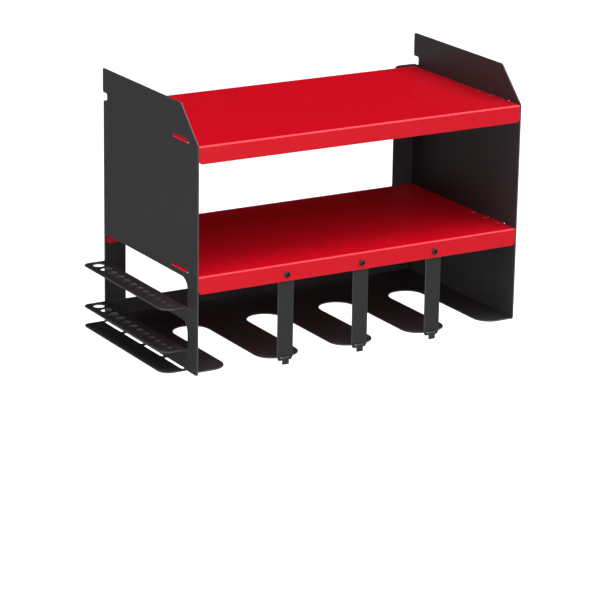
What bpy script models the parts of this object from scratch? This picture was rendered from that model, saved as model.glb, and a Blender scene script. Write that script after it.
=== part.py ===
"""Wall mounted rack for power tools, folded from steel sheet.

Two side panels with wall flanges carry two shelves and, below them, a base plate
whose open slots take hanging tools. Three strips hang from the middle shelf and hold
the base plate's arms, and the left panel has three flaps folded out of it as a rack.

+X is right, +Y points into the wall and +Z is up. The wall is the plane y = 0, x = 0 is
midway between the side panels and z = 0 is the left panel's lower edge. Metres.
"""

import math
from dataclasses import dataclass

import bmesh
import bpy
from mathutils import Vector

MM = 0.001

# The whole rack
RACK_WIDTH = 419 * MM
RACK_DEPTH = 226 * MM
RACK_HEIGHT = 300 * MM
SHEET = 1.5 * MM
FIT_GAP = 0.3 * MM

# Side panels
TOP_CHAMFER = 40 * MM
FLANGE_WIDTH = 28 * MM
FLANGE_RISE = 2 * MM
FLANGE_CORNER = 4.5 * MM
NOTCH_HEIGHT = 10 * MM
NOTCH_DEPTH = 10.5 * MM
NOTCH_CORNER = 2 * MM
PANEL_CORNER = 2.5 * MM
PANEL_FOOT_CORNER = 3.5 * MM
PANEL_BEND = 1 * MM
RIGHT_PANEL_LIFT = 3 * MM

# Side rack, folded out of the left panel
LOWER_FLAP_LEVEL = 25 * MM
FLAP_TRIM = 5 * MM
FLAP_FRONT_INSET = 23.5 * MM
FLAP_REAR_INSET = 4 * MM
FLAP_FRONT_CORNER = 13 * MM
FLAP_REAR_CORNER = 8 * MM
WINDOW_WEB = 14.5 * MM
SHELF_WEB = 6.2 * MM
WINDOW_SLIT = 0.8 * MM
FOLD_RELIEF = 0.5 * MM
RACK_HOLES = 12
HOLE_ROW_INSET = 13 * MM
HOLE_PITCH_TAPER_SHARE = 0.137
LARGEST_HOLE = 13.8 * MM
SMALLEST_HOLE = 5 * MM
FOLD_SLOTS = 4
FOLD_SLOT_HEIGHT = 4.2 * MM
FOLD_SLOT_DROP = 1.8 * MM
FOLD_SLOT_WEB = 4.5 * MM
FOLD_SLOT_REAR_INSET = 2 * MM
FOLD_SLOT_FRONT_INSET = 5 * MM

# Shelves
TOP_SHELF_LEVEL = RACK_HEIGHT - TOP_CHAMFER
MIDDLE_SHELF_LEVEL = 114 * MM
LIP_HEIGHT = 20.4 * MM
LIP_CORNER = 4 * MM
REAR_LIP_INSET = 1 * MM
SHELF_BEND = 1.5 * MM
TAB_SLOT_LENGTH = 36 * MM
TAB_SLOT_HEIGHT = 4.5 * MM
TAB_SLOT_CORNER = 1.5 * MM
TAB_SLOT_INSET = 22 * MM
TAB_FRONT_PLAY = 3.5 * MM
END_HOLES = 3
END_HOLE_SIZE = 5.6 * MM
END_HOLE_INSET = 6.2 * MM
END_HOLE_FRONT = 28 * MM
END_HOLE_PITCH = 25 * MM

# Base plate with its tool slots and arms
BASE_LEVEL = 5.5 * MM
BASE_LIP_TOP = 24 * MM
TOOL_SLOTS = 4
TOOL_SLOT_WIDTH = 44 * MM
TOOL_SLOT_REAR = 74 * MM
FINGER_WIDTH = 40.2 * MM
FINGER_SETBACK = 0.6 * MM
ARM_TIP_WIDTH = 13 * MM
ARM_TAB_WIDTH = 8.5 * MM
ARM_TAB_DROP = 9 * MM
ARM_TAB_CORNER = 1 * MM
ARM_TAB_BEND = 0.6 * MM

# Hanger strips
STRIP_WIDTH = 20 * MM
STRIP_FOOT = 1 * MM
STRIP_FOOT_TAPER = 2 * MM
STRIP_FOOT_RISE = 4 * MM
STRIP_HEAD_CORNER = 4.5 * MM
STRIP_HEAD_MARGIN = 8 * MM
STRIP_SLOT_WIDTH = 11.4 * MM
STRIP_SLOT_HEIGHT = 2.7 * MM

# Screws and nuts, size M4
SCREW_SIZE = 4 * MM
SCREW_DROP = 12.2 * MM
HEAD_SIZE = 7.2 * MM
HEAD_HEIGHT = 2.2 * MM
HEAD_RIM = 0.7 * MM
HEAD_FLAT = 3.6 * MM
SOCKET_FLATS = 2.5 * MM
SOCKET_DEPTH = 1.3 * MM
NUT_FLATS = 7 * MM
NUT_HEIGHT = 3.2 * MM
THREAD_SHOWING = 0.5 * MM
TIP_CHAMFER = 0.5 * MM
JOINT_INSET = 13 * MM

# Wall holes in the flanges
KEYHOLE_DROP = 55 * MM
LOWER_HOLE_LEVEL = 55 * MM
WALL_SCREW_SIZE = 5 * MM
WALL_HEAD_SIZE = 10 * MM
KEYHOLE_RISE = 9 * MM

# How finely round shapes are drawn
QUARTER_TURN = math.pi / 2
ARC_STEP = math.radians(15)
CIRCLE_STEPS = 24
BEND_STEPS = 6
SCREW_STEPS = 16
DOME_STEPS = 3
SMOOTH_ANGLE = math.radians(30)
SAME_PLANE = math.radians(0.5)
WELD = 0.001 * MM
OVERRUN = 1 * MM

# Places that several pieces share
PANEL_FACE = RACK_WIDTH / 2 - SHEET
SHELF_END = PANEL_FACE - FIT_GAP
REAR_LIP_END = SHELF_END - REAR_LIP_INSET
LIP_BACK = -RACK_DEPTH + SHEET
TAB_SLOT_REAR = -RACK_DEPTH + TAB_SLOT_INSET + TAB_SLOT_LENGTH
STRIP_FRONT = LIP_BACK + FIT_GAP
STRIP_BACK = STRIP_FRONT + SHEET
ARM_FRONT = STRIP_BACK + FIT_GAP
ARM_TAB_START = -RACK_DEPTH + ARM_TAB_BEND + SHEET
FINGER_FRONT = -RACK_DEPTH + FINGER_SETBACK
REAR_LIP_BACK = -SHEET - FIT_GAP
REAR_LIP_FRONT = REAR_LIP_BACK - SHEET
JOINT_X = PANEL_FACE - JOINT_INSET
SCREW_LEVEL = MIDDLE_SHELF_LEVEL - SCREW_DROP
SHELF_LEVELS = (TOP_SHELF_LEVEL, MIDDLE_SHELF_LEVEL)
FLAP_FRONT = -RACK_DEPTH + FLAP_FRONT_INSET
FLAP_REAR = -FLAP_REAR_INSET
LOWER_ROOT = LOWER_FLAP_LEVEL - PANEL_BEND - SHEET
WINDOWS_HEIGHT = MIDDLE_SHELF_LEVEL - SHEET - FIT_GAP - SHELF_WEB - LOWER_ROOT
WINDOW_HEIGHT = (WINDOWS_HEIGHT - WINDOW_WEB) / 2
UPPER_ROOT = LOWER_ROOT + WINDOW_HEIGHT + WINDOW_WEB
FLAP_REACH = WINDOW_HEIGHT - FLAP_TRIM
TOOL_SLOT_PITCH = (2 * (SHELF_END - FINGER_WIDTH) - TOOL_SLOT_WIDTH) / (TOOL_SLOTS - 1)
MOUTH_CORNER = (TOOL_SLOT_PITCH - TOOL_SLOT_WIDTH - ARM_TIP_WIDTH) / 2
STRIP_PLACES = [(index - (TOOL_SLOTS - 2) / 2) * TOOL_SLOT_PITCH for index in range(TOOL_SLOTS - 1)]
TOOL_SLOT_PLACES = [(index - (TOOL_SLOTS - 1) / 2) * TOOL_SLOT_PITCH for index in range(TOOL_SLOTS)]
JOINT_LEVELS = (
    TOP_SHELF_LEVEL - LIP_HEIGHT / 2 - SHEET,
    MIDDLE_SHELF_LEVEL - LIP_HEIGHT / 2 - SHEET,
    (BASE_LEVEL + BASE_LIP_TOP) / 2,
)


@dataclass
class Bend:
    """A right-angle bend, given on the flat sheet that it starts from.

    start is a point on the line where the bend begins, away the direction across it
    into the part that moves, side the face it folds towards (1 is the sheet's own +Z),
    inside the inner radius, and beyond a point of the part that moves.
    """

    start: Vector
    away: Vector
    side: int
    inside: float
    beyond: Vector


def bend_length(inside):
    """The length of sheet that a right-angle bend of this inner radius takes up."""
    return (inside + SHEET / 2) * QUARTER_TURN


def flat_reach(reach, inside):
    """How far past a bend's start the flat sheet goes, to stand out from its inner face by reach."""
    return bend_length(inside) + reach - inside


# Outlines


def rounded(corners):
    """An outline through the corners, each given as a point and the radius that rounds it."""
    points = []
    for index, (corner, radius) in enumerate(corners):
        here = Vector(corner)
        if radius == 0:
            points.append(here)
            continue
        back = (Vector(corners[index - 1][0]) - here).normalized()
        ahead = (Vector(corners[(index + 1) % len(corners)][0]) - here).normalized()
        half = back.angle(ahead) / 2
        centre = here + (back + ahead).normalized() * radius / math.sin(half)
        first = here + back * radius / math.tan(half) - centre
        last = here + ahead * radius / math.tan(half) - centre
        turn = math.atan2(first.x * last.y - first.y * last.x, first.dot(last))
        begin = math.atan2(first.y, first.x)
        steps = max(1, round(abs(turn) / ARC_STEP))
        for step in range(steps + 1):
            angle = begin + turn * step / steps
            points.append(centre + radius * Vector((math.cos(angle), math.sin(angle))))
    return points


def circle(centre, size):
    """A round hole of the given diameter."""
    angles = [2 * math.pi * step / CIRCLE_STEPS for step in range(CIRCLE_STEPS)]
    return [Vector(centre) + size / 2 * Vector((math.cos(angle), math.sin(angle))) for angle in angles]


def opening(low, high, corner):
    """A rectangular opening between two opposite corners, all four rounded by the radius."""
    return rounded([(low, corner), ((high[0], low[1]), corner), (high, corner), ((low[0], high[1]), corner)])


def slot(low, high):
    """An opening between two opposite corners, with its short ends fully round."""
    return opening(low, high, (high[1] - low[1]) / 2 - WELD)


def keyhole(centre):
    """A wall hole: a round entry for the screw's head, with a narrower slot above it."""
    across, up = centre
    entry = WALL_HEAD_SIZE / 2
    neck = WALL_SCREW_SIZE / 2
    half_gap = math.asin(neck / entry)
    points = []
    for step in range(CIRCLE_STEPS + 1):
        angle = QUARTER_TURN + half_gap + (2 * math.pi - 2 * half_gap) * step / CIRCLE_STEPS
        points.append(Vector((across + entry * math.cos(angle), up + entry * math.sin(angle))))
    for step in range(CIRCLE_STEPS // 2 + 1):
        angle = math.pi * step / (CIRCLE_STEPS // 2)
        points.append(Vector((across + neck * math.cos(angle), up + KEYHOLE_RISE + neck * math.sin(angle))))
    return points


# Sheet metal


def merge_slivers(sheet):
    """Joins each face thinner than WELD, as filling leaves where corners lie in line, to a neighbour."""
    faces = 0
    while faces != len(sheet.faces):
        faces = len(sheet.faces)
        longest = [(face, max(face.edges, key=lambda edge: edge.calc_length())) for face in sheet.faces]
        thin = {edge for face, edge in longest if face.calc_area() < edge.calc_length() * WELD / 2}
        bmesh.ops.dissolve_edges(sheet, edges=list(thin))


def blank(name, loops):
    """A flat sheet as a bmesh: the first loop is its outline and the others are its holes."""
    curve = bpy.data.curves.new(name, "CURVE")
    curve.dimensions = "2D"
    curve.fill_mode = "BOTH"
    curve.extrude = SHEET / 2
    for loop in loops:
        spline = curve.splines.new("POLY")
        spline.points.add(len(loop) - 1)
        for point, (across, up) in zip(spline.points, loop):
            point.co = (across, up, 0, 1)
        spline.use_cyclic_u = True
    guide = bpy.data.objects.new(name + "_outline", curve)
    bpy.context.scene.collection.objects.link(guide)
    graph = bpy.context.evaluated_depsgraph_get()
    mesh = bpy.data.meshes.new_from_object(guide.evaluated_get(graph))
    sheet = bmesh.new()
    sheet.from_mesh(mesh)
    bmesh.ops.remove_doubles(sheet, verts=sheet.verts, dist=WELD)
    merge_slivers(sheet)
    bmesh.ops.recalc_face_normals(sheet, faces=sheet.faces)
    bpy.data.objects.remove(guide)
    bpy.data.curves.remove(curve)
    bpy.data.meshes.remove(mesh)
    return sheet


def score(sheet, bend):
    """Cuts the flat sheet's faces along the lines between which the bend turns."""
    for step in range(BEND_STEPS + 1):
        point = bend.start + bend.away * bend_length(bend.inside) * step / BEND_STEPS
        bmesh.ops.bisect_plane(
            sheet,
            geom=sheet.verts[:] + sheet.edges[:] + sheet.faces[:],
            dist=WELD,
            plane_co=point.to_3d(),
            plane_no=bend.away.to_3d(),
        )


def moving_part(sheet, bend):
    """The points past the bend's start that hang together with the point that the bend names."""
    ahead = {vertex for vertex in sheet.verts if (vertex.co.xy - bend.start).dot(bend.away) > WELD}
    seed = min(ahead, key=lambda vertex: (vertex.co.xy - bend.beyond).length)
    found = {seed}
    waiting = [seed]
    while waiting:
        vertex = waiting.pop()
        for edge in vertex.link_edges:
            other = edge.other_vert(vertex)
            if other in ahead and other not in found:
                found.add(other)
                waiting.append(other)
    return found


def crease(sheet, bend):
    """Marks the bend's lines where it turns the sheet, so that its flat faces keep them."""
    part = moving_part(sheet, bend)
    facet = bend_length(bend.inside) / BEND_STEPS
    for edge in sheet.edges:
        first, last = ((vertex.co.xy - bend.start).dot(bend.away) / facet for vertex in edge.verts)
        line = min(max(round(first), 0), BEND_STEPS)
        on_line = max(abs(first - line), abs(last - line)) * facet < WELD
        if on_line and any(vertex in part for face in edge.link_faces for vertex in face.verts):
            edge.seam = True


def rolled(across, height, inside):
    """Where a bend takes a point of the flat sheet, as how far across it and how far up.

    across is the point's distance past the bend's start and height its height over the
    face that the bend has inside.
    """
    length = bend_length(inside)
    turn = min(across / length, 1) * QUARTER_TURN
    rest = max(across - length, 0)
    radius = inside - height
    reached = radius * math.sin(turn) + rest * math.cos(turn)
    risen = inside - radius * math.cos(turn) + rest * math.sin(turn)
    return Vector((reached, risen))


def fold(bend, part):
    """Rolls the moving part round the bend in flat facets, keeping its length and thickness."""
    facet = bend_length(bend.inside) / BEND_STEPS
    for vertex in part:
        across = (vertex.co.xy - bend.start).dot(bend.away)
        height = bend.side * vertex.co.z - SHEET / 2
        line = math.floor(across / facet)
        if line < BEND_STEPS:
            low = rolled(line * facet, height, bend.inside)
            high = rolled((line + 1) * facet, height, bend.inside)
            place = low.lerp(high, across / facet - line)
        else:
            place = rolled(across, height, bend.inside)
        vertex.co.xy += bend.away * (place.x - across)
        vertex.co.z = bend.side * (place.y + SHEET / 2)


def folded(name, loops, bends):
    """The mesh of a sheet cut to the loops and folded at each bend."""
    sheet = blank(name, loops)
    for bend in bends:
        score(sheet, bend)
    for bend in bends:
        crease(sheet, bend)
    bmesh.ops.dissolve_limit(
        sheet, angle_limit=SAME_PLANE, verts=sheet.verts, edges=sheet.edges, delimit={"NORMAL", "SEAM"}
    )
    parts = [moving_part(sheet, bend) for bend in bends]
    for bend, part in zip(bends, parts):
        fold(bend, part)
    sheet.normal_update()
    bmesh.ops.triangulate(sheet, faces=sheet.faces, quad_method="BEAUTY", ngon_method="BEAUTY")
    bmesh.ops.recalc_face_normals(sheet, faces=sheet.faces)
    mesh = bpy.data.meshes.new(name)
    sheet.to_mesh(mesh)
    sheet.free()
    return mesh


# Side panels, drawn with y across and z up


def flap_edge(root, up):
    """The corners of a flap that leaves its root upwards (up is 1) or downwards (up is -1)."""
    end = root + up * flat_reach(FLAP_REACH, PANEL_BEND)
    return [
        ((FLAP_FRONT, root - up * FOLD_RELIEF), 0),
        ((FLAP_FRONT, end), FLAP_FRONT_CORNER),
        ((FLAP_REAR, end), FLAP_REAR_CORNER),
        ((FLAP_REAR, root - up * FOLD_RELIEF), 0),
    ]


def window_cut(root):
    """The cut that frees a flap from the panel: the window's edge round the outside of the flap."""
    front = FLAP_FRONT - WINDOW_SLIT
    rear = FLAP_REAR + WINDOW_SLIT
    top = root + WINDOW_HEIGHT
    window = [
        ((rear, root - FOLD_RELIEF), 0),
        ((rear, top), FLAP_REAR_CORNER),
        ((front, top), FLAP_FRONT_CORNER),
        ((front, root - FOLD_RELIEF), 0),
    ]
    return rounded(window + flap_edge(root, 1))


def hole_row(root):
    """The graded round holes along the middle of a flap, largest near the wall."""
    line = root + flat_reach(FLAP_REACH / 2, PANEL_BEND)
    mean_pitch = (FLAP_REAR - FLAP_FRONT - 2 * HOLE_ROW_INSET) / (RACK_HOLES - 1)
    across = FLAP_REAR - HOLE_ROW_INSET
    holes = []
    for index in range(RACK_HOLES):
        size_share = index / (RACK_HOLES - 1)
        holes.append(circle((across, line), LARGEST_HOLE + size_share * (SMALLEST_HOLE - LARGEST_HOLE)))
        pitch_share = 1 - 2 * index / (RACK_HOLES - 2)
        across -= mean_pitch * (1 + HOLE_PITCH_TAPER_SHARE * pitch_share)
    return holes


def fold_slots(root):
    """The slots along the lowest flap's bend."""
    middle = root - bend_length(PANEL_BEND) / 2 - FOLD_SLOT_DROP
    first = FLAP_REAR - FOLD_SLOT_REAR_INSET
    pitch = (first - FLAP_FRONT - FOLD_SLOT_FRONT_INSET + FOLD_SLOT_WEB) / FOLD_SLOTS
    slots = []
    for index in range(FOLD_SLOTS):
        rear = first - index * pitch
        low = (rear - pitch + FOLD_SLOT_WEB, middle - FOLD_SLOT_HEIGHT / 2)
        slots.append(slot(low, (rear, middle + FOLD_SLOT_HEIGHT / 2)))
    return slots


def shelf_slots(height):
    """The slots of this height in a side panel that take the shelves' tabs."""
    front = TAB_SLOT_REAR - TAB_SLOT_LENGTH
    corner = min(TAB_SLOT_CORNER, height / 2 - WELD)
    slots = []
    for level in SHELF_LEVELS:
        floor = level - SHEET - FIT_GAP
        slots.append(opening((front, floor), (TAB_SLOT_REAR, floor + height), corner))
    return slots


def flange_bend(side):
    """The bend that turns a panel's rear edge along the wall."""
    start = -PANEL_BEND - SHEET
    beyond = Vector((start + FLANGE_WIDTH, RACK_HEIGHT / 2))
    return Bend(Vector((start, 0)), Vector((1, 0)), side, PANEL_BEND, beyond)


def flange_end():
    """How far the flat sheet goes past y = 0 to give the flange its width."""
    return flat_reach(FLANGE_WIDTH - SHEET, PANEL_BEND) - PANEL_BEND - SHEET


def flange_place(inset):
    """Where a hole of the flange lies on the flat sheet, from its distance to the panel's inner face."""
    return flat_reach(inset, PANEL_BEND) - PANEL_BEND - SHEET


def flange_holes():
    """The joint screws' holes and the wall holes of a flange."""
    line = flange_place(JOINT_INSET)
    holes = [circle((line, level), SCREW_SIZE + 2 * FIT_GAP) for level in JOINT_LEVELS]
    holes.append(keyhole((line, TOP_SHELF_LEVEL - KEYHOLE_DROP)))
    holes.append(circle((line, LOWER_HOLE_LEVEL), WALL_SCREW_SIZE))
    return holes


def panel_outline(floor, below):
    """A side panel's outline, from its lower rear corner round the top, then the corners below."""
    ledge = TOP_SHELF_LEVEL + FLANGE_RISE
    return rounded(
        [
            ((flange_end(), floor), PANEL_CORNER),
            ((flange_end(), ledge), FLANGE_CORNER),
            ((-NOTCH_DEPTH, ledge), NOTCH_CORNER),
            ((-NOTCH_DEPTH, ledge + NOTCH_HEIGHT), NOTCH_CORNER),
            ((0, ledge + NOTCH_HEIGHT), PANEL_CORNER),
            ((0, RACK_HEIGHT), PANEL_CORNER),
            ((-RACK_DEPTH + TOP_CHAMFER, RACK_HEIGHT), PANEL_CORNER),
            ((-RACK_DEPTH, TOP_SHELF_LEVEL), PANEL_CORNER),
            ((-RACK_DEPTH, floor), PANEL_FOOT_CORNER),
        ]
        + below
    )


def left_panel():
    """The left side panel with its flange, windows and three flaps."""
    lowest = PANEL_BEND + SHEET
    below = (
        [((FLAP_FRONT - WINDOW_SLIT, 0), 0), ((FLAP_FRONT - WINDOW_SLIT, lowest + FOLD_RELIEF), 0)]
        + flap_edge(lowest, -1)
        + [((FLAP_REAR + WINDOW_SLIT, lowest + FOLD_RELIEF), 0), ((FLAP_REAR + WINDOW_SLIT, 0), 0)]
    )
    loops = [panel_outline(0, below)] + shelf_slots(TAB_SLOT_HEIGHT) + flange_holes() + fold_slots(lowest)
    bends = [flange_bend(1)]
    middle = (FLAP_FRONT + FLAP_REAR) / 2
    for root in (UPPER_ROOT, LOWER_ROOT):
        loops += [window_cut(root)] + hole_row(root)
        tip = Vector((middle, root + flat_reach(FLAP_REACH, PANEL_BEND)))
        bends.append(Bend(Vector((0, root)), Vector((0, 1)), -1, PANEL_BEND, tip))
    tip = Vector((middle, lowest - flat_reach(FLAP_REACH, PANEL_BEND)))
    bends.append(Bend(Vector((0, lowest)), Vector((0, -1)), -1, PANEL_BEND, tip))
    return folded("left_side_panel", loops, bends)


def right_panel():
    """The right side panel, with close-fitting slots for the shelves' tabs and no rack."""
    loops = [panel_outline(RIGHT_PANEL_LIFT, [])] + shelf_slots(SHEET + 2 * FIT_GAP) + flange_holes()
    return folded("right_side_panel", loops, [flange_bend(-1)])


# Shelves and base plate, drawn from above with x across and y up


def mirrored(corners):
    """The corners of the right half, followed by their mirror images from last to first."""
    return corners + [((-corner[0], corner[1]), radius) for corner, radius in reversed(corners)]


def end_holes():
    """The three holes near each end of a shelf."""
    holes = []
    for side in (-1, 1):
        for index in range(END_HOLES):
            place = -RACK_DEPTH + END_HOLE_FRONT + index * END_HOLE_PITCH
            holes.append(circle((side * (SHELF_END - END_HOLE_INSET), place), END_HOLE_SIZE))
    return holes


def shelf(name, lip_screws):
    """A shelf with a lip folded down at its front and its back and a tab at each end."""
    front = -RACK_DEPTH + SHELF_BEND + SHEET
    rear = REAR_LIP_BACK - SHELF_BEND - SHEET
    lip = flat_reach(LIP_HEIGHT - SHEET, SHELF_BEND)
    tab_end = RACK_WIDTH / 2
    tab_rear = TAB_SLOT_REAR - TAB_SLOT_CORNER
    tab_front = TAB_SLOT_REAR - TAB_SLOT_LENGTH + TAB_FRONT_PLAY
    outline = rounded(
        mirrored(
            [
                ((SHELF_END, front - lip), LIP_CORNER),
                ((SHELF_END, tab_front), 0),
                ((tab_end, tab_front), 0),
                ((tab_end, tab_rear), 0),
                ((SHELF_END, tab_rear), 0),
                ((SHELF_END, rear), 0),
                ((REAR_LIP_END, rear), 0),
                ((REAR_LIP_END, rear + lip), LIP_CORNER),
            ]
        )
    )
    joint_line = rear + flat_reach(LIP_HEIGHT / 2, SHELF_BEND)
    holes = [circle((side * JOINT_X, joint_line), SCREW_SIZE + 2 * FIT_GAP) for side in (-1, 1)]
    screw_line = front - flat_reach(SCREW_DROP - SHEET, SHELF_BEND)
    holes += [circle((place, screw_line), SCREW_SIZE + 2 * FIT_GAP) for place in lip_screws]
    bends = [
        Bend(Vector((0, front)), Vector((0, -1)), -1, SHELF_BEND, Vector((0, front - lip))),
        Bend(Vector((0, rear)), Vector((0, 1)), -1, SHELF_BEND, Vector((0, rear + lip))),
    ]
    return folded(name, [outline] + end_holes() + holes, bends)


def tool_slot(place):
    """The corners of one tool slot, from the mouth's left side to its right side."""
    left = place - TOOL_SLOT_WIDTH / 2
    right = place + TOOL_SLOT_WIDTH / 2
    end = TOOL_SLOT_WIDTH / 2 - WELD
    left_front = FINGER_FRONT if place == TOOL_SLOT_PLACES[0] else ARM_FRONT
    right_front = FINGER_FRONT if place == TOOL_SLOT_PLACES[-1] else ARM_FRONT
    return [
        ((left, left_front), MOUTH_CORNER),
        ((left, -TOOL_SLOT_REAR), end),
        ((right, -TOOL_SLOT_REAR), end),
        ((right, right_front), MOUTH_CORNER),
    ]


def arm_tab(place):
    """The corners of the tab at an arm's tip."""
    tip = ARM_TAB_START - flat_reach(ARM_TAB_DROP - SHEET, ARM_TAB_BEND)
    left = place - ARM_TAB_WIDTH / 2
    right = place + ARM_TAB_WIDTH / 2
    return [
        ((left, ARM_FRONT), 0),
        ((left, tip), ARM_TAB_CORNER),
        ((right, tip), ARM_TAB_CORNER),
        ((right, ARM_FRONT), 0),
    ]


def base_plate():
    """The base plate: a lip folded up along the wall, four tool slots and three hooked arms."""
    rear = REAR_LIP_BACK - SHELF_BEND - SHEET
    lip = flat_reach(BASE_LIP_TOP - BASE_LEVEL, SHELF_BEND)
    corners = [((-SHELF_END, FINGER_FRONT), PANEL_CORNER)]
    for index, place in enumerate(TOOL_SLOT_PLACES):
        corners += tool_slot(place)
        if index < len(STRIP_PLACES):
            corners += arm_tab(STRIP_PLACES[index])
    corners += [
        ((SHELF_END, FINGER_FRONT), PANEL_CORNER),
        ((SHELF_END, rear), 0),
        ((REAR_LIP_END, rear), 0),
        ((REAR_LIP_END, rear + lip), LIP_CORNER),
        ((-REAR_LIP_END, rear + lip), LIP_CORNER),
        ((-REAR_LIP_END, rear), 0),
        ((-SHELF_END, rear), 0),
    ]
    joint_line = rear + flat_reach(JOINT_LEVELS[-1] - BASE_LEVEL, SHELF_BEND)
    holes = [circle((side * JOINT_X, joint_line), SCREW_SIZE + 2 * FIT_GAP) for side in (-1, 1)]
    bends = [Bend(Vector((0, rear)), Vector((0, 1)), 1, SHELF_BEND, Vector((0, rear + lip)))]
    for place in STRIP_PLACES:
        tip = Vector((place, ARM_TAB_START - ARM_TAB_DROP))
        bends.append(Bend(Vector((0, ARM_TAB_START)), Vector((0, -1)), -1, ARM_TAB_BEND, tip))
    return folded("tool_base_plate", [rounded(corners)] + holes, bends)


# Hanger strips, drawn from the front with x across and z up


def hanger_strip(name):
    """A flat strip with a screw hole at its head and a slot for the arm's tab at its foot."""
    half = STRIP_WIDTH / 2
    head = SCREW_LEVEL + STRIP_HEAD_MARGIN
    corners = [
        ((half, head), STRIP_HEAD_CORNER),
        ((half, STRIP_FOOT + STRIP_FOOT_RISE), 0),
        ((half - STRIP_FOOT_TAPER, STRIP_FOOT), 0),
    ]
    floor = BASE_LEVEL - SHEET - FIT_GAP
    tab_slot = slot((-STRIP_SLOT_WIDTH / 2, floor), (STRIP_SLOT_WIDTH / 2, floor + STRIP_SLOT_HEIGHT))
    hole = circle((0, SCREW_LEVEL), SCREW_SIZE + 2 * FIT_GAP)
    return folded(name, [rounded(mirrored(corners)), tab_slot, hole], [])


# Screws and nuts


def evaluated_mesh(obj, name):
    """The object's mesh with its modifiers applied; the object is removed."""
    graph = bpy.context.evaluated_depsgraph_get()
    mesh = bpy.data.meshes.new_from_object(obj.evaluated_get(graph))
    mesh.name = name
    bpy.data.objects.remove(obj)
    return mesh


def prism(name, radius, sides, low, high):
    """An upright prism round the Z axis, with its corners at the radius."""
    mesh = bpy.data.meshes.new(name)
    shape = bmesh.new()
    bmesh.ops.create_cone(
        shape, cap_ends=True, segments=sides, radius1=radius, radius2=radius, depth=high - low
    )
    bmesh.ops.translate(shape, verts=shape.verts, vec=(0, 0, (low + high) / 2))
    shape.to_mesh(mesh)
    shape.free()
    obj = bpy.data.objects.new(name, mesh)
    bpy.context.scene.collection.objects.link(obj)
    return obj


def cut(obj, cutter):
    """Takes the cutter away from the object."""
    boolean = obj.modifiers.new("cut", "BOOLEAN")
    boolean.operation = "DIFFERENCE"
    boolean.solver = "EXACT"
    boolean.object = cutter


def screw_mesh(name, length):
    """A domed head with a hex socket on a plain shank, pointing down from z = 0 under the head."""
    flat = HEAD_FLAT / 2
    dome = HEAD_SIZE / 2 - flat
    shank = SCREW_SIZE / 2
    profile = [(0, HEAD_HEIGHT)]
    for step in range(DOME_STEPS + 1):
        angle = QUARTER_TURN * step / DOME_STEPS
        up = HEAD_RIM + (HEAD_HEIGHT - HEAD_RIM) * math.cos(angle)
        profile.append((flat + dome * math.sin(angle), up))
    profile += [(HEAD_SIZE / 2, 0), (shank, 0), (shank, TIP_CHAMFER - length)]
    profile += [(shank - TIP_CHAMFER, -length), (0, -length)]
    mesh = bpy.data.meshes.new(name)
    line = bmesh.new()
    points = [line.verts.new((across, 0, up)) for across, up in profile]
    for first, second in zip(points, points[1:]):
        line.edges.new((first, second))
    line.to_mesh(mesh)
    line.free()
    obj = bpy.data.objects.new(name, mesh)
    bpy.context.scene.collection.objects.link(obj)
    turn = obj.modifiers.new("turn", "SCREW")
    turn.steps = SCREW_STEPS
    turn.render_steps = SCREW_STEPS
    turn.use_merge_vertices = True
    turn.merge_threshold = WELD
    floor = HEAD_HEIGHT - SOCKET_DEPTH
    socket = prism("socket", SOCKET_FLATS / math.sqrt(3), 6, floor, HEAD_HEIGHT + OVERRUN)
    cut(obj, socket)
    made = evaluated_mesh(obj, name)
    bpy.data.objects.remove(socket)
    return made


def nut_mesh(name):
    """A hex nut from z = 0 up."""
    body = prism(name, NUT_FLATS / math.sqrt(3), 6, 0, NUT_HEIGHT)
    bore = prism("bore", SCREW_SIZE / 2 + FIT_GAP, SCREW_STEPS, -OVERRUN, NUT_HEIGHT + OVERRUN)
    cut(body, bore)
    made = evaluated_mesh(body, name)
    bpy.data.objects.remove(bore)
    return made


# Finishes


def finish(name, colour, roughness, metallic):
    """A plain surface of one colour, given in linear light."""
    material = bpy.data.materials.new(name)
    material.use_nodes = True
    surface = material.node_tree.nodes["Principled BSDF"]
    surface.inputs["Base Color"].default_value = (*colour, 1)
    surface.inputs["Roughness"].default_value = roughness
    surface.inputs["Metallic"].default_value = metallic
    material.diffuse_color = (*colour, 1)
    return material


# Assembly


def set_piece(name, mesh, material, location, rotation, carrier, collection):
    """Puts a piece in its place in the rack."""
    obj = bpy.data.objects.new(name, mesh)
    obj.data.materials.clear()
    obj.data.materials.append(material)
    obj.data.shade_smooth()
    obj.data.set_sharp_from_angle(angle=SMOOTH_ANGLE)
    obj.location = location
    obj.rotation_euler = rotation
    obj.parent = carrier
    collection.objects.link(obj)


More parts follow.
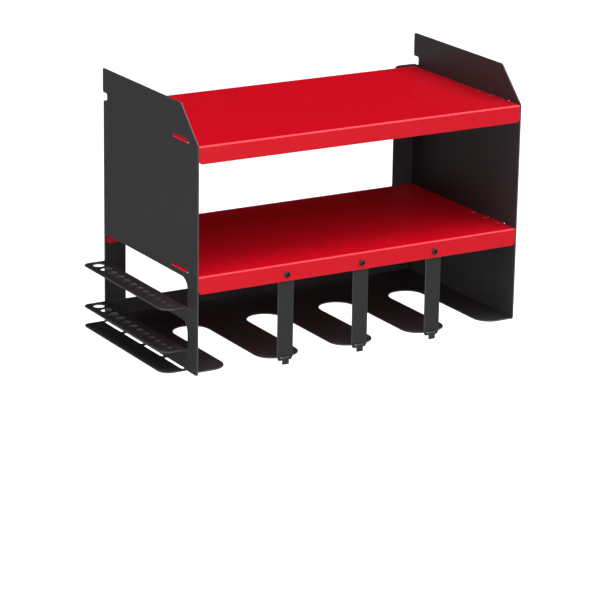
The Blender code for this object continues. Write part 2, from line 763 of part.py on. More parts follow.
def build():
    """Clears the scene and builds the rack."""
    for obj in list(bpy.data.objects):
        bpy.data.objects.remove(obj)
    collection = bpy.data.collections.new("wall_tool_organizer")
    bpy.context.scene.collection.children.link(collection)
    rack = bpy.data.objects.new("rack", None)
    collection.objects.link(rack)

    charcoal = finish("charcoal_powder_coat", (0.035, 0.035, 0.038), 0.5, 0)
    red = finish("red_powder_coat", (0.62, 0.004, 0.02), 0.42, 0)
    black = finish("black_oxide", (0.02, 0.02, 0.022), 0.4, 0.7)

    flat = (0, 0, 0)
    side_on = (QUARTER_TURN, 0, QUARTER_TURN)
    facing = (QUARTER_TURN, 0, 0)
    aside = PANEL_FACE + SHEET / 2
    set_piece("left_side_panel", left_panel(), charcoal, (-aside, 0, 0), side_on, rack, collection)
    set_piece("right_side_panel", right_panel(), charcoal, (aside, 0, 0), side_on, rack, collection)

    for name, level, lip_screws in zip(("top_shelf", "middle_shelf"), SHELF_LEVELS, ([], STRIP_PLACES)):
        deck = (0, 0, level - SHEET / 2)
        set_piece(name, shelf(name, lip_screws), red, deck, flat, rack, collection)
    deck = (0, 0, BASE_LEVEL - SHEET / 2)
    set_piece("tool_base_plate", base_plate(), charcoal, deck, flat, rack, collection)

    head_seat = -RACK_DEPTH - FIT_GAP
    nut_back = STRIP_BACK + FIT_GAP + NUT_HEIGHT
    strip = hanger_strip("hanger_strip")
    hanger_screw = screw_mesh("hanger_screw", nut_back + THREAD_SHOWING - head_seat)
    nut = nut_mesh("hanger_nut")
    for index, across in enumerate(STRIP_PLACES, 1):
        middle = (across, (STRIP_FRONT + STRIP_BACK) / 2, 0)
        head = (across, head_seat, SCREW_LEVEL)
        back = (across, nut_back, SCREW_LEVEL)
        set_piece(f"hanger_strip_{index}", strip, charcoal, middle, facing, rack, collection)
        set_piece(f"hanger_screw_{index}", hanger_screw, black, head, facing, rack, collection)
        set_piece(f"hanger_nut_{index}", nut, black, back, facing, rack, collection)

    joint_seat = REAR_LIP_FRONT - FIT_GAP
    joint_screw = screw_mesh("joint_screw", -FIT_GAP - joint_seat)
    for piece, level in zip(("top_shelf", "middle_shelf", "base_plate"), JOINT_LEVELS):
        for hand, side in (("left", -1), ("right", 1)):
            head = (side * JOINT_X, joint_seat, level)
            name = f"{piece}_joint_screw_{hand}"
            set_piece(name, joint_screw, black, head, facing, rack, collection)


build()
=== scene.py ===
"""Looks of a wall mounted rack for power tools.

The rack's sheets get softened cut edges under a powder coat, its screws and nuts get
sockets, chamfers and threads, and a pale studio lights it. Metres, in the frame of the
CAD solids: +X is right, +Y points into the wall and +Z is up.
"""

import logging
import math
from dataclasses import dataclass, field
from enum import Enum

import bmesh
import bpy
from mathutils import Matrix, Vector


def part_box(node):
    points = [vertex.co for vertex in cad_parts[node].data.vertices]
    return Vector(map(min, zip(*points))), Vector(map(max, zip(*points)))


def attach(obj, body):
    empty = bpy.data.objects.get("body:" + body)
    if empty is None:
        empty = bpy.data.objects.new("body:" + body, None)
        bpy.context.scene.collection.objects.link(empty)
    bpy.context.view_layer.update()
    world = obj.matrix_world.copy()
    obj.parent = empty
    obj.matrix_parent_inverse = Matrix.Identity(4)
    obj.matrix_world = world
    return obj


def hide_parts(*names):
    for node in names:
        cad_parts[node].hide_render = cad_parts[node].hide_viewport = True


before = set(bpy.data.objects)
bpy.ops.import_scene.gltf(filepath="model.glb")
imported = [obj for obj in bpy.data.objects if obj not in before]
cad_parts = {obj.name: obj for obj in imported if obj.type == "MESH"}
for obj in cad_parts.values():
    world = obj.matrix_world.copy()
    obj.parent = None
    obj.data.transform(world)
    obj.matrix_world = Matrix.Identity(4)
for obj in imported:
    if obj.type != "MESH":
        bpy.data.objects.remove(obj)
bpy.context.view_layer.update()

LOG = logging.getLogger("rack")
MM = 0.001
ROOT_BODY = "root"
WELD = 0.0005 * MM
PLACE_DIGITS = 8
FULL_TURN = 2 * math.pi
QUARTER_TURN = FULL_TURN / 4
HEX_SIDES = 6
RIM = "rim"
NOISE_MIDDLE = 0.5
BEVEL_PROFILE = 0.5
AT_ORIGIN = (0.0, 0.0, 0.0)
UPWARD = (0.0, 0.0, 1.0)
Colour = tuple[float, float, float]
Point = tuple[float, float, float]
Span = tuple[float, float]
BLACK: Colour = (0.0, 0.0, 0.0)
WHITE: Colour = (1.0, 1.0, 1.0)

# Sockets of the Mix node for colours, whose names other sockets of it share
MIX_FACTOR, MIX_FIRST, MIX_SECOND, MIX_RESULT = 0, 6, 7, 2


class Slot(Enum):
    """The record's material slots."""

    CHARCOAL = "charcoal_coat"
    RED = "red_coat"
    STEEL = "black_steel"


Finishes = dict[Slot, bpy.types.Material]
Ring = list[bmesh.types.BMVert]
Part = bmesh.types.BMVert | bmesh.types.BMEdge | bmesh.types.BMFace


# Shader graphs


class Channel:
    """A shader socket that takes part in Python expressions."""

    def __init__(self, graph: "ShaderGraph", socket: bpy.types.NodeSocket) -> None:
        """Wraps an output socket of the graph."""
        self.graph = graph
        self.socket = socket

    def __add__(self, other: "Channel | float") -> "Channel":
        """Adds the other value."""
        return self.graph.maths("ADD", self, other)

    def __radd__(self, other: float) -> "Channel":
        """Adds to the other value."""
        return self.graph.maths("ADD", other, self)

    def __sub__(self, other: "Channel | float") -> "Channel":
        """Takes the other value away."""
        return self.graph.maths("SUBTRACT", self, other)

    def __rsub__(self, other: float) -> "Channel":
        """Is taken away from the other value."""
        return self.graph.maths("SUBTRACT", other, self)

    def __mul__(self, other: "Channel | float") -> "Channel":
        """Multiplies by the other value."""
        return self.graph.maths("MULTIPLY", self, other)

    def __rmul__(self, other: float) -> "Channel":
        """Multiplies the other value."""
        return self.graph.maths("MULTIPLY", other, self)

    def over(self, low: float, high: float) -> "Channel":
        """Spreads a range of values over 0 to 1.

        Args:
            low: The value that becomes 0, as all below it do.
            high: The value that becomes 1, as all above it do.

        Returns:
            The spread channel.
        """
        limits = {"From Min": low, "From Max": high, "To Min": 0.0, "To Max": 1.0}
        spread = self.graph.add("ShaderNodeMapRange", {"clamp": True}, {"Value": self, **limits})
        return Channel(self.graph, spread.outputs["Result"])


class ShaderGraph:
    """The nodes of a material or of the world."""

    def __init__(self, owner: bpy.types.Material | bpy.types.World, surface: str) -> None:
        """Opens the owner's nodes.

        Args:
            owner: The material or world.
            surface: The name of the shader node that it shows.
        """
        owner.use_nodes = True
        self.tree = owner.node_tree
        self.surface = self.tree.nodes[surface]

    def add(
        self, kind: str, settings: dict[str, object], inputs: dict[str | int, object]
    ) -> bpy.types.Node:
        """Adds a node.

        Args:
            kind: The node's type.
            settings: The node's properties, set before its sockets.
            inputs: Channels to link or values to set, by socket name or number.

        Returns:
            The new node.
        """
        node = self.tree.nodes.new(kind)
        for key, value in settings.items():
            setattr(node, key, value)
        self.feed(node, inputs)
        return node

    def feed(self, node: bpy.types.Node, inputs: dict[str | int, object]) -> None:
        """Links or sets sockets of a node.

        Args:
            node: The node.
            inputs: Channels to link or values to set, by socket name or number.
        """
        for key, value in inputs.items():
            if isinstance(value, Channel):
                self.tree.links.new(value.socket, node.inputs[key])
            else:
                node.inputs[key].default_value = value

    def dress(self, inputs: dict[str | int, object]) -> None:
        """Links or sets sockets of the shader node that shows."""
        self.feed(self.surface, inputs)

    def maths(self, operation: str, first: Channel | float, second: Channel | float) -> Channel:
        """The result of a Math node on two values."""
        node = self.add("ShaderNodeMath", {"operation": operation}, {0: first, 1: second})
        return Channel(self, node.outputs[0])

    def position(self) -> Channel:
        """The point on the piece, in metres."""
        return Channel(self, self.add("ShaderNodeTexCoord", {}, {}).outputs["Object"])

    def seen(self) -> Channel:
        """1 where the camera looks, and 0 for light on its way elsewhere."""
        return Channel(self, self.add("ShaderNodeLightPath", {}, {}).outputs["Is Camera Ray"])

    def attribute(self, name: str) -> Channel:
        """A number kept on the mesh."""
        settings = {"attribute_type": "GEOMETRY", "attribute_name": name}
        return Channel(self, self.add("ShaderNodeAttribute", settings, {}).outputs["Fac"])

    def noise(self, position: Channel, spot: float, detail: float) -> Channel:
        """Soft noise.

        Args:
            position: Where it is read.
            spot: The size of its spots in metres.
            detail: How many finer layers it has.

        Returns:
            A channel around 0.5.
        """
        inputs = {"Vector": position, "Scale": 1 / spot, "Detail": detail}
        return Channel(self, self.add("ShaderNodeTexNoise", {}, inputs).outputs["Fac"])

    def blend(self, share: Channel, first: Channel | Colour, second: Channel | Colour) -> Channel:
        """Mixes two colours.

        Args:
            share: How much of the second there is, from 0 to 1.
            first: The first colour.
            second: The second colour.

        Returns:
            The mixed colour.
        """
        inputs = {MIX_FACTOR: share}
        for key, colour in ((MIX_FIRST, first), (MIX_SECOND, second)):
            inputs[key] = colour if isinstance(colour, Channel) else (*colour, 1.0)
        node = self.add("ShaderNodeMix", {"data_type": "RGBA"}, inputs)
        return Channel(self, node.outputs[MIX_RESULT])

    def bump(self, height: Channel, distance: float, under: Channel | None = None) -> Channel:
        """Raises the surface by a height.

        Args:
            height: The height from 0 to 1.
            distance: What a height of 1 is, in metres.
            under: A bump to add this one to.

        Returns:
            The bent normal.
        """
        inputs = {"Height": height, "Distance": distance, "Strength": 1.0}
        if under is not None:
            inputs["Normal"] = under
        return Channel(self, self.add("ShaderNodeBump", {}, inputs).outputs["Normal"])


# Finishes


@dataclass(frozen=True)
class PowderCoat:
    """A baked powder coat: softly dimpled, finely grained, and lighter on cut edges, partly as a
    thinner coat and partly as a painted highlight.
    """

    name: str
    colour: Colour
    edge_colour: Colour
    shade_colour: Colour
    roughness: float
    specular: float
    dimple: float = 1.6 * MM
    dimple_detail: float = 1.0
    dimple_depth: float = 0.022 * MM
    grain: float = 0.32 * MM
    grain_detail: float = 2.0
    grain_depth: float = 0.006 * MM
    grain_matt: float = 0.16
    speck: float = 0.64 * MM
    speck_detail: float = 0.0
    speck_range: Span = (0.64, 0.72)
    speck_share: float = 0.07
    cloud: float = 70 * MM
    cloud_detail: float = 3.0
    cloud_range: Span = (0.3, 0.7)
    cloud_share: float = 0.35
    cloud_matt: float = 0.05
    rim_coat_and_highlight_share: float = 0.55
    rim_gloss: float = 0.08

    def material(self) -> bpy.types.Material:
        """Makes the coat's material.

        Returns:
            The material, which reads Object coordinates and the rim attribute.
        """
        material = bpy.data.materials.new(self.name)
        graph = ShaderGraph(material, "Principled BSDF")
        place = graph.position()
        rim = graph.attribute(RIM)
        cloud = graph.noise(place, self.cloud, self.cloud_detail).over(*self.cloud_range)
        specks = graph.noise(place, self.speck, self.speck_detail).over(*self.speck_range)
        dimples = graph.noise(place, self.dimple, self.dimple_detail)
        grain = graph.noise(place, self.grain, self.grain_detail)
        body = graph.blend(cloud * self.cloud_share, self.colour, self.shade_colour)
        speckled = graph.blend(specks * self.speck_share, body, self.edge_colour)
        matt = (grain - NOISE_MIDDLE) * self.grain_matt + (cloud - NOISE_MIDDLE) * self.cloud_matt
        dimpled = graph.bump(dimples, self.dimple_depth)
        graph.dress(
            {
                # Rims and cut walls lean to the edge colour: partly the thinner coat there, partly
                # a painted highlight along the lit edges.
                "Base Color": graph.blend(rim * self.rim_coat_and_highlight_share, speckled, self.edge_colour),
                "Roughness": self.roughness + matt - rim * self.rim_gloss,
                "Normal": graph.bump(grain, self.grain_depth, dimpled),
                "Specular IOR Level": self.specular,
            }
        )
        return material


@dataclass(frozen=True)
class BlackOxide:
    """Blackened steel: dark and slightly oily, worn to grey steel on its edges."""

    name: str
    colour: Colour
    worn_colour: Colour
    roughness: float
    metallic: float = 0.85
    mottle: float = 1.2 * MM
    mottle_detail: float = 3.0
    mottle_range: Span = (0.35, 0.65)
    mottle_share: float = 0.4
    mottle_matt: float = 0.14
    scratch: float = 0.18 * MM
    scratch_detail: float = 3.0
    scratch_depth: float = 0.004 * MM
    scratch_wear: float = 0.5
    rim_wear: float = 0.7
    wear_range: Span = (0.15, 0.75)
    wear_gloss: float = 0.06

    def material(self) -> bpy.types.Material:
        """Makes the finish's material.

        Returns:
            The material, which reads Object coordinates and the rim attribute.
        """
        material = bpy.data.materials.new(self.name)
        graph = ShaderGraph(material, "Principled BSDF")
        place = graph.position()
        mottle = graph.noise(place, self.mottle, self.mottle_detail).over(*self.mottle_range)
        scratch = graph.noise(place, self.scratch, self.scratch_detail)
        wear = graph.attribute(RIM) * self.rim_wear + (scratch - NOISE_MIDDLE) * self.scratch_wear
        worn = wear.over(*self.wear_range)
        oxide = graph.blend(mottle * self.mottle_share, self.colour, self.worn_colour)
        matt = (mottle - NOISE_MIDDLE) * self.mottle_matt
        graph.dress(
            {
                "Base Color": graph.blend(worn, oxide, self.worn_colour),
                "Roughness": self.roughness + matt - worn * self.wear_gloss,
                "Normal": graph.bump(scratch, self.scratch_depth),
                "Metallic": self.metallic,
            }
        )
        return material


def mix_finishes() -> Finishes:
    """Makes the rack's finishes.

    Returns:
        A material for each slot.
    """
    # Each edge colour serves the random specks and the rims; on the rims it is partly the thinner
    # coat and partly a painted highlight along the lit cut edges.
    charcoal = PowderCoat(
        name="charcoal_coat",
        colour=(0.0205, 0.0205, 0.0222),
        edge_colour=(0.13, 0.13, 0.135),
        shade_colour=(0.0178, 0.0178, 0.0193),
        roughness=0.5,
        specular=0.42,
    )
    red = PowderCoat(
        name="red_coat",
        colour=(0.64, 0.0008, 0.0115),
        edge_colour=(0.74, 0.035, 0.045),
        shade_colour=(0.59, 0.0006, 0.01),
        roughness=0.31,
        specular=0.56,
    )
    oxide = BlackOxide(
        name="black_oxide",
        colour=(0.022, 0.022, 0.024),
        worn_colour=(0.14, 0.14, 0.145),
        roughness=0.36,
    )
    return {
        Slot.CHARCOAL: charcoal.material(),
        Slot.RED: red.material(),
        Slot.STEEL: oxide.material(),
    }


def finish_piece(
    shape: bmesh.types.BMesh, name: str, node: str, slot: Slot, finishes: Finishes
) -> None:
    """Turns a shape into a piece of the rack that stands for a CAD node.

    Args:
        shape: The piece's shape in its place; it is freed.
        name: The piece's name.
        node: The CAD node that it stands for.
        slot: The record's slot that its finish comes from.
        finishes: The rack's finishes.
    """
    mesh = bpy.data.meshes.new(name)
    shape.to_mesh(mesh)
    shape.free()
    mesh.shade_smooth()
    mesh.materials.append(finishes[slot])
    piece = bpy.data.objects.new(name, mesh)
    bpy.context.scene.collection.objects.link(piece)
    flatten = piece.modifiers.new("flat_faces_stay_flat", "WEIGHTED_NORMAL")
    flatten.mode = "FACE_AREA"
    flatten.keep_sharp = True
    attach(piece, ROOT_BODY)
    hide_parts(node)
    LOG.info("%s stands for %s: %d faces", name, node, len(mesh.polygons))


# Folded sheets


@dataclass(frozen=True)
class EdgeSoftener:
    """Rounds the cut edges of a sheet, as the coat does on the real one."""

    sheet: float = 1.5 * MM
    radius: float = 0.26 * MM
    segments: int = 2
    sharp: float = math.radians(40)
    flat: float = math.radians(0.5)
    wall_slack: float = 1.04
    wall_sharp_share: float = 0.2
    wall_rim: float = 0.45

    def is_cut_wall(self, face: bmesh.types.BMFace, sharp: set[bmesh.types.BMEdge]) -> bool:
        """Tells the cut walls of the sheet from its two sides.

        Args:
            face: A face of the sheet.
            sharp: The sheet's sharp edges.

        Returns:
            Whether the face is as narrow as the sheet is thick and lies between sharp edges.
        """
        outline = face.calc_perimeter()
        at_sharp = sum(edge.calc_length() for edge in face.edges if edge in sharp)
        narrow = 2 * face.calc_area() < self.sheet * outline * self.wall_slack
        return narrow and at_sharp > outline * self.wall_sharp_share

    def soften(self, node: str) -> bmesh.types.BMesh:
        """Copies a CAD sheet and rounds its cut edges.

        Args:
            node: The CAD node.

        Returns:
            The softened shape, with the rim attribute on its walls and edges.
        """
        shape = bmesh.new()
        shape.from_mesh(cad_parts[node].data)
        bmesh.ops.remove_doubles(shape, verts=shape.verts, dist=WELD)
        bmesh.ops.dissolve_limit(
            shape, angle_limit=self.flat, verts=shape.verts, edges=shape.edges, delimit=set()
        )
        # The rim mark lightens the coat: partly its thinner coat on edges, partly a painted
        # highlight along the lit cut walls and rounded edges.
        rim = shape.loops.layers.float.new(RIM)
        sharp = {edge for edge in shape.edges if edge.calc_face_angle(0) > self.sharp}
        for face in shape.faces:
            if self.is_cut_wall(face, sharp):
                for loop in face.loops:
                    loop[rim] = self.wall_rim
        rounded = bmesh.ops.bevel(
            shape,
            geom=list(sharp),
            offset=self.radius,
            offset_type="OFFSET",
            affect="EDGES",
            segments=self.segments,
            profile=BEVEL_PROFILE,
            clamp_overlap=False,
            loop_slide=False,
            material=-1,
        )
        for face in rounded["faces"]:
            for loop in face.loops:
                loop[rim] = 1.0
        return shape


@dataclass
class FoldedSheets:
    """Folded sheets that share a powder coat."""

    finishes: Finishes
    nodes: tuple[str, ...]
    slot: Slot = Slot.CHARCOAL
    softener: EdgeSoftener = field(default_factory=EdgeSoftener)

    def build(self) -> None:
        """Builds and dresses each sheet."""
        for node in self.nodes:
            shape = self.softener.soften(node)
            finish_piece(shape, f"{node}_coated", node, self.slot, self.finishes)


@dataclass
class SidePanels(FoldedSheets):
    """The two side panels, the left one with its folded-out rack."""

    nodes: tuple[str, ...] = ("left_side_panel", "right_side_panel")


@dataclass
class Shelves(FoldedSheets):
    """The two red shelves."""

    nodes: tuple[str, ...] = ("top_shelf", "middle_shelf")
    slot: Slot = Slot.RED


@dataclass
class ToolBase(FoldedSheets):
    """The slotted base plate and the strips that carry its arms."""

    nodes: tuple[str, ...] = (
        "tool_base_plate",
        "hanger_strip_1",
        "hanger_strip_2",
        "hanger_strip_3",
    )


# Screws and nuts


def round_ring(shape: bmesh.types.BMesh, steps: int, size: float, height: float) -> Ring:
    """Adds a closed round ring of points.

    Args:
        shape: The shape that it is added to.
        steps: How many points it has.
        size: Its diameter.
        height: Where it lies along Z.

    Returns:
        The ring's vertices.
    """
    ring = bmesh.ops.create_circle(shape, segments=steps, radius=size / 2)["verts"]
    bmesh.ops.translate(shape, verts=ring, vec=(0, 0, height))
    return ring


def hex_ring(shape: bmesh.types.BMesh, steps: int, flats: float, height: float) -> Ring:
    """Adds a closed ring of points on a hexagon.

    Args:
        shape: The shape that it is added to.
        steps: How many points it has, a multiple of six.
        flats: The distance across its flats.
        height: Where it lies along Z.

    Returns:
        The ring's vertices.
    """
    ring = round_ring(shape, steps, flats, height)
    side = FULL_TURN / HEX_SIDES
    for vertex in ring:
        from_flat = math.atan2(vertex.co.y, vertex.co.x) % side - side / 2
        vertex.co.x /= math.cos(from_flat)
        vertex.co.y /= math.cos(from_flat)
    return ring


def edges_of(ring: Ring) -> list[bmesh.types.BMEdge]:
    """The edges of a ring that nothing else is joined to yet."""
    return list(dict.fromkeys(edge for vertex in ring for edge in vertex.link_edges))


def middle_of(part: Part) -> tuple[float, ...]:
    """Finds where a part of a shape is.

    Args:
        part: A vertex, an edge or a face.

    Returns:
        The place of its middle, rounded so that parts can be sorted by it.
    """
    ends = [part] if isinstance(part, bmesh.types.BMVert) else part.verts
    middle = sum((vertex.co for vertex in ends), Vector()) / len(ends)
    return tuple(round(value, PLACE_DIGITS) for value in middle)


def settle_order(shape: bmesh.types.BMesh) -> None:
    """Sorts a shape's parts by their places, because a spin leaves them in any order.

    Args:
        shape: The spun shape.
    """
    for parts in (shape.verts, shape.edges, shape.faces):
        rank = {part: place for place, part in enumerate(sorted(parts, key=middle_of))}
        parts.sort(key=rank.__getitem__)


def turn_profile(profile: list[Span], closed: bool, steps: int) -> bmesh.types.BMesh:
    """Turns a profile about Z, as on a lathe.

    Args:
        profile: The profile's points, each as its distance from Z and its height.
        closed: Whether the last point is joined to the first.
        steps: How many steps the full turn takes.

    Returns:
        The turned shape.
    """
    shape = bmesh.new()
    points = [shape.verts.new((across, 0.0, up)) for across, up in profile]
    following = points[1:] + points[:1] if closed else points[1:]
    line = [shape.edges.new(pair) for pair in zip(points, following)]
    bmesh.ops.spin(
        shape,
        geom=points + line,
        cent=AT_ORIGIN,
        axis=UPWARD,
        angle=FULL_TURN,
        steps=steps,
        use_merge=True,
    )
    bmesh.ops.remove_doubles(shape, verts=shape.verts, dist=WELD)
    settle_order(shape)
    return shape


def mark_rims(shape: bmesh.types.BMesh, sharp: float) -> None:
    """Gives the rim attribute to the corners of faces that meet at a sharp edge.

    Args:
        shape: The screw or nut.
        sharp: The angle between faces past which their edge is sharp.
    """
    rim = shape.loops.layers.float.new(RIM)
    sharp_edges = [edge for edge in shape.edges if edge.calc_face_angle(0) > sharp]
    worn = {vertex for edge in sharp_edges for vertex in edge.verts}
    for face in shape.faces:
        for loop in face.loops:
            loop[rim] = 1.0 if loop.vert in worn else 0.0


@dataclass(frozen=True)
class SocketScrew:
    """A button-head screw with a hex socket and a rolled thread, size M4."""

    head: float = 7.2 * MM
    head_height: float = 2.2 * MM
    head_rim: float = 0.7 * MM
    head_flat: float = 3.6 * MM
    head_edge: float = 0.12 * MM
    dome_steps: int = 6
    socket_flats: float = 2.5 * MM
    socket_depth: float = 1.3 * MM
    socket_point: float = 0.35 * MM
    socket_point_share: float = 0.05
    thread: float = 4 * MM
    thread_depth: float = 0.4 * MM
    thread_root: float = 0.1 * MM
    pitch: float = 0.7 * MM
    foot_share: float = 0.44
    crest_share: float = 0.06
    tip_chamfer: float = 0.5 * MM
    threaded_share: float = 0.85
    steps: int = 48
    thread_steps: int = 24
    worn_angle: float = math.radians(34)

    def turned(self, length: float) -> bmesh.types.BMesh:
        """Turns the outside of the head and the core, from the socket's mouth to the tip.

        Args:
            length: How far the shank reaches below the head.

        Returns:
            The turned shape, open at the top of its head.
        """
        rim = self.head / 2
        flat = self.head_flat / 2
        core = self.thread / 2 - self.thread_depth
        profile = []
        for step in range(self.dome_steps + 1):
            angle = QUARTER_TURN * step / self.dome_steps
            across = flat + (rim - flat) * math.sin(angle)
            up = self.head_rim + (self.head_height - self.head_rim) * math.cos(angle)
            profile.append((across, up))
        profile += [(rim, self.head_edge), (rim - self.head_edge, 0.0), (core, 0.0)]
        profile += [(core, self.tip_chamfer - length), (core - self.tip_chamfer, -length)]
        profile.append((0.0, -length))
        return turn_profile(profile, False, self.steps)

    def sink_socket(self, shape: bmesh.types.BMesh) -> None:
        """Closes the head with a hexagonal socket that ends in a shallow point.

        Args:
            shape: The turned screw, open at the top of its head.
        """
        mouth = [edge for edge in shape.edges if edge.is_boundary]
        loop = edges_of(hex_ring(shape, self.steps, self.socket_flats, self.head_height))
        bmesh.ops.bridge_loops(shape, edges=mouth + loop)
        straight = (self.socket_depth, 1.0)
        pointed = (self.socket_point, self.socket_point_share)
        for sink, share in (straight, pointed):
            grown = bmesh.ops.extrude_edge_only(shape, edges=loop)["geom"]
            lower = [item for item in grown if isinstance(item, bmesh.types.BMVert)]
            loop = [item for item in grown if isinstance(item, bmesh.types.BMEdge)]
            loop = [edge for edge in loop if all(vertex in lower for vertex in edge.verts)]
            bmesh.ops.translate(shape, verts=lower, vec=(0, 0, -sink))
            bmesh.ops.scale(shape, verts=lower, vec=(share, share, 1))
        middle = sum((vertex.co for vertex in lower), Vector()) / len(lower)
        bmesh.ops.pointmerge(shape, verts=lower, merge_co=middle)

    def wind_thread(self, shape: bmesh.types.BMesh, length: float) -> None:
        """Winds the thread's ridge round the core.

        Args:
            shape: The screw.
            length: How far the shank reaches below the head.
        """
        root = self.thread / 2 - self.thread_depth - self.thread_root
        foot = self.pitch * self.foot_share
        crest = self.pitch * self.crest_share
        outline = [(root, -foot), (self.thread / 2, -crest), (self.thread / 2, crest), (root, foot)]
        start = self.tip_chamfer - length
        rise = length * self.threaded_share - self.tip_chamfer
        steps = round(rise / self.pitch * self.thread_steps)
        points = [shape.verts.new((across, 0.0, start + up)) for across, up in outline]
        profile = shape.faces.new(points)
        bmesh.ops.spin(
            shape,
            geom=[profile, *profile.edges, *points],
            cent=AT_ORIGIN,
            axis=UPWARD,
            dvec=(0, 0, rise / steps),
            angle=FULL_TURN * rise / self.pitch,
            steps=steps,
        )

    def shape(self, length: float) -> bmesh.types.BMesh:
        """Makes the screw, standing head up with the underside of its head at z = 0.

        Args:
            length: How far the shank reaches below the head.

        Returns:
            The screw's shape.
        """
        made = self.turned(length)
        self.sink_socket(made)
        self.wind_thread(made, length)
        settle_order(made)
        bmesh.ops.recalc_face_normals(made, faces=made.faces)
        mark_rims(made, self.worn_angle)
        return made


@dataclass(frozen=True)
class HexNut:
    """A hex nut with both faces chamfered, size M4."""

    flats: float = 7 * MM
    height: float = 3.2 * MM
    face: float = 6.72 * MM
    face_slope: float = math.tan(math.radians(30))
    blank: float = 8.4 * MM
    bore: float = 4.3 * MM
    bore_chamfer: float = 0.3 * MM
    flat_turn: float = 0.5
    steps: int = 48
    worn_angle: float = math.radians(34)

    def turned(self) -> bmesh.types.BMesh:
        """Turns the round blank with its bore and its chamfers.

        Returns:
            The blank, from z = 0 up.
        """
        fall = (self.blank - self.face) / 2 * self.face_slope
        mouth = self.bore / 2 + self.bore_chamfer
        upper = [
            (self.bore / 2, self.height - self.bore_chamfer),
            (mouth, self.height),
            (self.face / 2, self.height),
            (self.blank / 2, self.height - fall),
        ]
        profile = upper + [(across, self.height - up) for across, up in reversed(upper)]
        return turn_profile(profile, True, self.steps)

    def mill_flats(self, shape: bmesh.types.BMesh) -> None:
        """Cuts the six flats into the round blank.

        Args:
            shape: The blank.
        """
        for side in range(HEX_SIDES):
            angle = FULL_TURN / HEX_SIDES * (side + self.flat_turn)
            out = Vector((math.cos(angle), math.sin(angle), 0.0))
            cut = bmesh.ops.bisect_plane(
                shape,
                geom=[*shape.verts, *shape.edges, *shape.faces],
                dist=WELD,
                plane_co=out * self.flats / 2,
                plane_no=out,
                clear_outer=True,
            )
            edges = [item for item in cut["geom_cut"] if isinstance(item, bmesh.types.BMEdge)]
            bmesh.ops.holes_fill(shape, edges=edges)

    def shape(self) -> bmesh.types.BMesh:
        """Makes the nut from z = 0 up.

        Returns:
            The nut's shape.
        """
        made = self.turned()
        self.mill_flats(made)
        settle_order(made)
        bmesh.ops.recalc_face_normals(made, faces=made.faces)
        mark_rims(made, self.worn_angle)
        return made


@dataclass
class Fastenings:
    """The screws and nuts that hold the rack together."""

    finishes: Finishes
    hangers: tuple[int, ...] = (1, 2, 3)
    joined: tuple[str, ...] = ("top_shelf", "middle_shelf", "base_plate")
    hands: tuple[str, ...] = ("left", "right")
    screw: SocketScrew = field(default_factory=SocketScrew)
    nut: HexNut = field(default_factory=HexNut)
    nut_turn: float = FULL_TURN / HEX_SIDES / 2
    screw_turns: tuple[float, ...] = (0.21, 0.83, 0.47, 0.66, 0.05, 0.94, 0.38, 0.12, 0.59)

    def stand(self, shape: bmesh.types.BMesh, node: str, turn: float, back: float) -> None:
        """Turns a screw or nut about its axis and lays it along Y.

        Args:
            shape: The upright screw or nut.
            node: The CAD node whose axis it takes.
            turn: How far it is turned about its own axis, in radians.
            back: Where its plane z = 0 goes along Y.
        """
        low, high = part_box(node)
        spot = Matrix.Translation(((low.x + high.x) / 2, back, (low.z + high.z) / 2))
        laid = spot @ Matrix.Rotation(QUARTER_TURN, 4, "X") @ Matrix.Rotation(turn, 4, "Z")
        bmesh.ops.transform(shape, verts=shape.verts, matrix=laid)

    def build(self) -> None:
        """Builds and dresses every screw and nut."""
        screws = [f"hanger_screw_{index}" for index in self.hangers]
        screws += [f"{piece}_joint_screw_{hand}" for piece in self.joined for hand in self.hands]
        for node, turn in zip(screws, self.screw_turns):
            low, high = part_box(node)
            seat = low.y + self.screw.head_height
            made = self.screw.shape(high.y - seat)
            self.stand(made, node, turn, seat)
            finish_piece(made, f"{node}_turned", node, Slot.STEEL, self.finishes)
        for node in [f"hanger_nut_{index}" for index in self.hangers]:
            made = self.nut.shape()
            self.stand(made, node, self.nut_turn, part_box(node)[1].y)
            finish_piece(made, f"{node}_turned", node, Slot.STEEL, self.finishes)


# Studio


def hang_lamp(lamp: bpy.types.Light, place: Point, aim: Point) -> None:
    """Hangs a lamp.

    Args:
        lamp: The lamp.
        place: Where it hangs.
        aim: The point that it faces.
    """
    stand = bpy.data.objects.new(lamp.name, lamp)
    stand.location = place
    stand.rotation_euler = (Vector(aim) - Vector(place)).to_track_quat("-Z", "Y").to_euler()
    bpy.context.scene.collection.objects.link(stand)


@dataclass(frozen=True)
class SoftBox:
    """A square studio lamp."""

    name: str
    place: Point
    aim: Point
    size: float
    power: float

    def hang(self) -> None:
        """Hangs the lamp, facing its aim."""
        lamp = bpy.data.lights.new(self.name, "AREA")
        lamp.shape = "SQUARE"
        lamp.size = self.size
        lamp.energy = self.power
        hang_lamp(lamp, self.place, self.aim)


@dataclass(frozen=True)
class SkyPanel:
    """A wide, even light from far overhead."""

    name: str
    place: Point
    spread: float
    strength: float

    def hang(self) -> None:
        """Hangs the light, facing the rack."""
        lamp = bpy.data.lights.new(self.name, "SUN")
        lamp.angle = self.spread
        lamp.energy = self.strength
        hang_lamp(lamp, self.place, AT_ORIGIN)


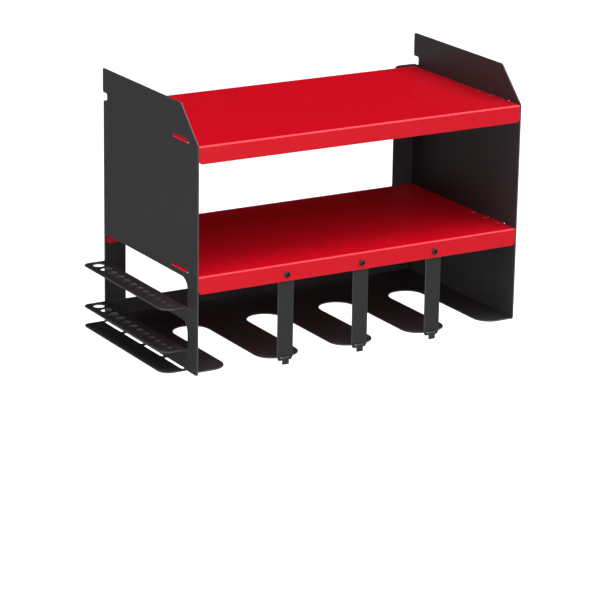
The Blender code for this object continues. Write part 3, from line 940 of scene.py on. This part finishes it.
@dataclass
class Studio:
    """The camera, the lamps, the pale floor and the white surroundings."""

    eye: Point = (-1.63746, -2.84416, 1.03242)
    azimuth: float = math.radians(-30.749)
    elevation: float = math.radians(17.543)
    roll: float = math.radians(0.936)
    focal_px: float = 2879.0
    frame_px: float = 600.0
    sensor_mm: float = 36.0
    farthest: float = 50.0
    floor_level: float = -1.1
    floor_size: float = 40.0
    floor_cells: int = 4
    floor_patch: float = 0.4
    floor_patch_detail: float = 2.0
    floor_patch_range: Span = (0.3, 0.7)
    floor_tones: tuple[Colour, Colour] = ((0.86, 0.86, 0.86), (0.9, 0.9, 0.9))
    floor_bounce: Colour = (0.25, 0.25, 0.25)
    floor_lift: Colour = (0.5, 0.5, 0.5)
    floor_roughness: float = 0.9
    air: float = 0.005
    lamps: tuple[SoftBox | SkyPanel, ...] = (
        SkyPanel("key_panel", place=(1.1, -1.1, 2.6), spread=math.radians(70), strength=3.12),
        SoftBox(
            "front_lamp", place=(-0.5, -3.2, 0.9), aim=(0.0, -0.1, 0.1), size=2.2, power=46.0
        ),
        SoftBox(
            "rack_lamp", place=(-0.9, -0.9, 2.6), aim=(-0.2, -0.1, 0.05), size=1.0, power=23.0
        ),
        SoftBox(
            "left_lamp", place=(-3.0, -0.6, 0.3), aim=(-0.2, -0.1, 0.15), size=1.5, power=62.0
        ),
        SoftBox(
            "right_lamp", place=(3.0, -0.2, -0.2), aim=(0.2, -0.1, 0.1), size=1.4, power=30.0
        ),
        SoftBox(
            "rear_lamp", place=(0.5, 2.6, -0.45), aim=(0.0, 0.0, 0.15), size=1.2, power=26.0
        ),
    )

    def set_camera(self) -> None:
        """Stands the camera where the view was fitted, for a square frame."""
        level = Vector((math.cos(self.azimuth), math.sin(self.azimuth), 0.0))
        inward = Vector((-level.y, level.x, 0.0))
        ahead = inward * math.cos(self.elevation) - Vector((0.0, 0.0, math.sin(self.elevation)))
        upright = level.cross(ahead)
        across = level * math.cos(self.roll) + upright * math.sin(self.roll)
        up = upright * math.cos(self.roll) - level * math.sin(self.roll)
        lens = bpy.data.cameras.new("camera")
        lens.sensor_width = self.sensor_mm
        lens.lens = self.sensor_mm * self.focal_px / self.frame_px
        lens.clip_end = self.farthest
        camera = bpy.data.objects.new("camera", lens)
        turned = Matrix((across, up, -ahead)).transposed().to_4x4()
        camera.matrix_world = Matrix.Translation(self.eye) @ turned
        bpy.context.scene.collection.objects.link(camera)
        bpy.context.scene.camera = camera

    def floor_finish(self) -> bpy.types.Material:
        """Makes the floor's material.

        Returns:
            A pale material, lifted to white for the camera, that throws little light back.
        """
        material = bpy.data.materials.new("pale_floor")
        graph = ShaderGraph(material, "Principled BSDF")
        patches = graph.noise(graph.position(), self.floor_patch, self.floor_patch_detail)
        pale = graph.blend(patches.over(*self.floor_patch_range), *self.floor_tones)
        seen = graph.seen()
        graph.dress(
            {
                "Base Color": graph.blend(seen, self.floor_bounce, pale),
                "Roughness": self.floor_roughness,
                "Emission Color": graph.blend(seen, BLACK, self.floor_lift),
                "Emission Strength": 1.0,
            }
        )
        return material

    def lay_floor(self) -> None:
        """Lays a pale floor below the rack."""
        ground = bmesh.new()
        cells = self.floor_cells
        bmesh.ops.create_grid(ground, x_segments=cells, y_segments=cells, size=self.floor_size / 2)
        bmesh.ops.translate(ground, verts=ground.verts, vec=(0, 0, self.floor_level))
        mesh = bpy.data.meshes.new("floor")
        ground.to_mesh(mesh)
        ground.free()
        mesh.materials.append(self.floor_finish())
        floor = bpy.data.objects.new("floor", mesh)
        bpy.context.scene.collection.objects.link(floor)

    def fill_air(self) -> None:
        """Makes the surroundings a faint light that the camera sees as white."""
        world = bpy.data.worlds.new("pale_air")
        bpy.context.scene.world = world
        graph = ShaderGraph(world, "Background")
        strength = graph.seen() * (1 - self.air) + self.air
        graph.dress({"Color": (*WHITE, 1.0), "Strength": strength})

    def build(self) -> None:
        """Sets up the camera, the floor, the air and the lamps."""
        bpy.context.scene.view_settings.view_transform = "Standard"
        self.set_camera()
        self.lay_floor()
        self.fill_air()
        for lamp in self.lamps:
            lamp.hang()


def main() -> None:
    """Builds the rack's pieces and the studio."""
    logging.basicConfig(level=logging.INFO, format="%(name)s: %(message)s")
    finishes = mix_finishes()
    sheets = (SidePanels(finishes), Shelves(finishes), ToolBase(finishes))
    for assembly in (*sheets, Fastenings(finishes), Studio()):
        assembly.build()
        LOG.info("%s done", type(assembly).__name__)


if __name__ == "__main__":
    main()
